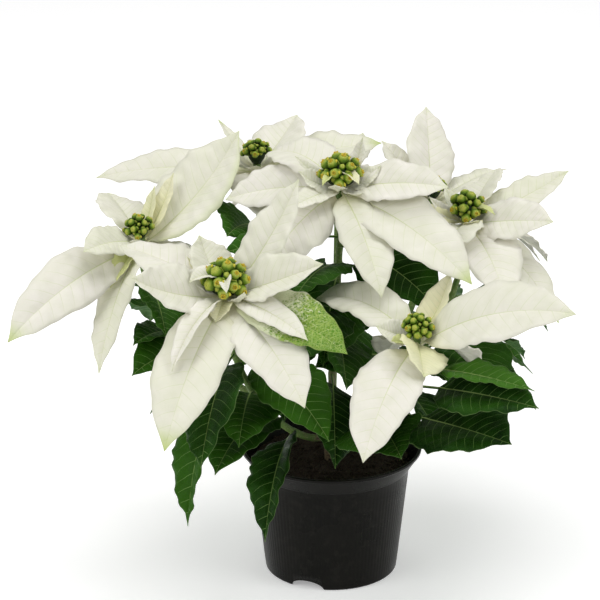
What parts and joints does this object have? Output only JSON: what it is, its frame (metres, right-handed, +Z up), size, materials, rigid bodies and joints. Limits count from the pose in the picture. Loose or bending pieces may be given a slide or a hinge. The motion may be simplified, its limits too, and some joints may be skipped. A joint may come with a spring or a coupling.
{
  "type": "potted poinsettia",
  "caption": "White poinsettia with broad cream bracts, green bud clusters and dark green leaves in a round black plastic pot.",
  "frame": {"origin": "centre of the pot's foot, on the surface it stands on", "axes": "+Z up along the pot's axis, -Y towards the front of the plant, +X to the right seen from the front"},
  "size_m": [0.4536, 0.4932, 0.3674],
  "materials": {
    "pot_plastic": "satin black moulded plastic",
    "peat": "dark crumbly potting peat, rough",
    "stem_bark": "green brown woody stem",
    "leaf_green": "dark green leaf with paler veins, soft sheen",
    "bract_white": "creamy white bract with greenish veins and tips, soft",
    "bud_green": "yellow green bud, slightly waxy"
  },
  "bodies": {
    "root": {"pot": "pot_plastic", "soil": "peat", "main_stem": "stem_bark", "leafy_stem_a": "leaf_green", "leafy_stem_b": "leaf_green", "leafy_stem_c": "leaf_green", "leafy_stem_d": "leaf_green", "leafy_stem_e": "leaf_green", "leafy_stem_f": "leaf_green", "leafy_stem_g": "leaf_green", "leafy_stem_h": "leaf_green", "bracts_a": "bract_white", "bracts_b": "bract_white", "bracts_c": "bract_white", "bracts_d": "bract_white", "bracts_e": "bract_white", "bracts_f": "bract_white", "bracts_g": "bract_white", "bracts_h": "bract_white", "buds_a": "bud_green", "buds_b": "bud_green", "buds_c": "bud_green", "buds_d": "bud_green", "buds_e": "bud_green", "buds_f": "bud_green", "buds_g": "bud_green", "buds_h": "bud_green"}
  },
  "joints": []
}
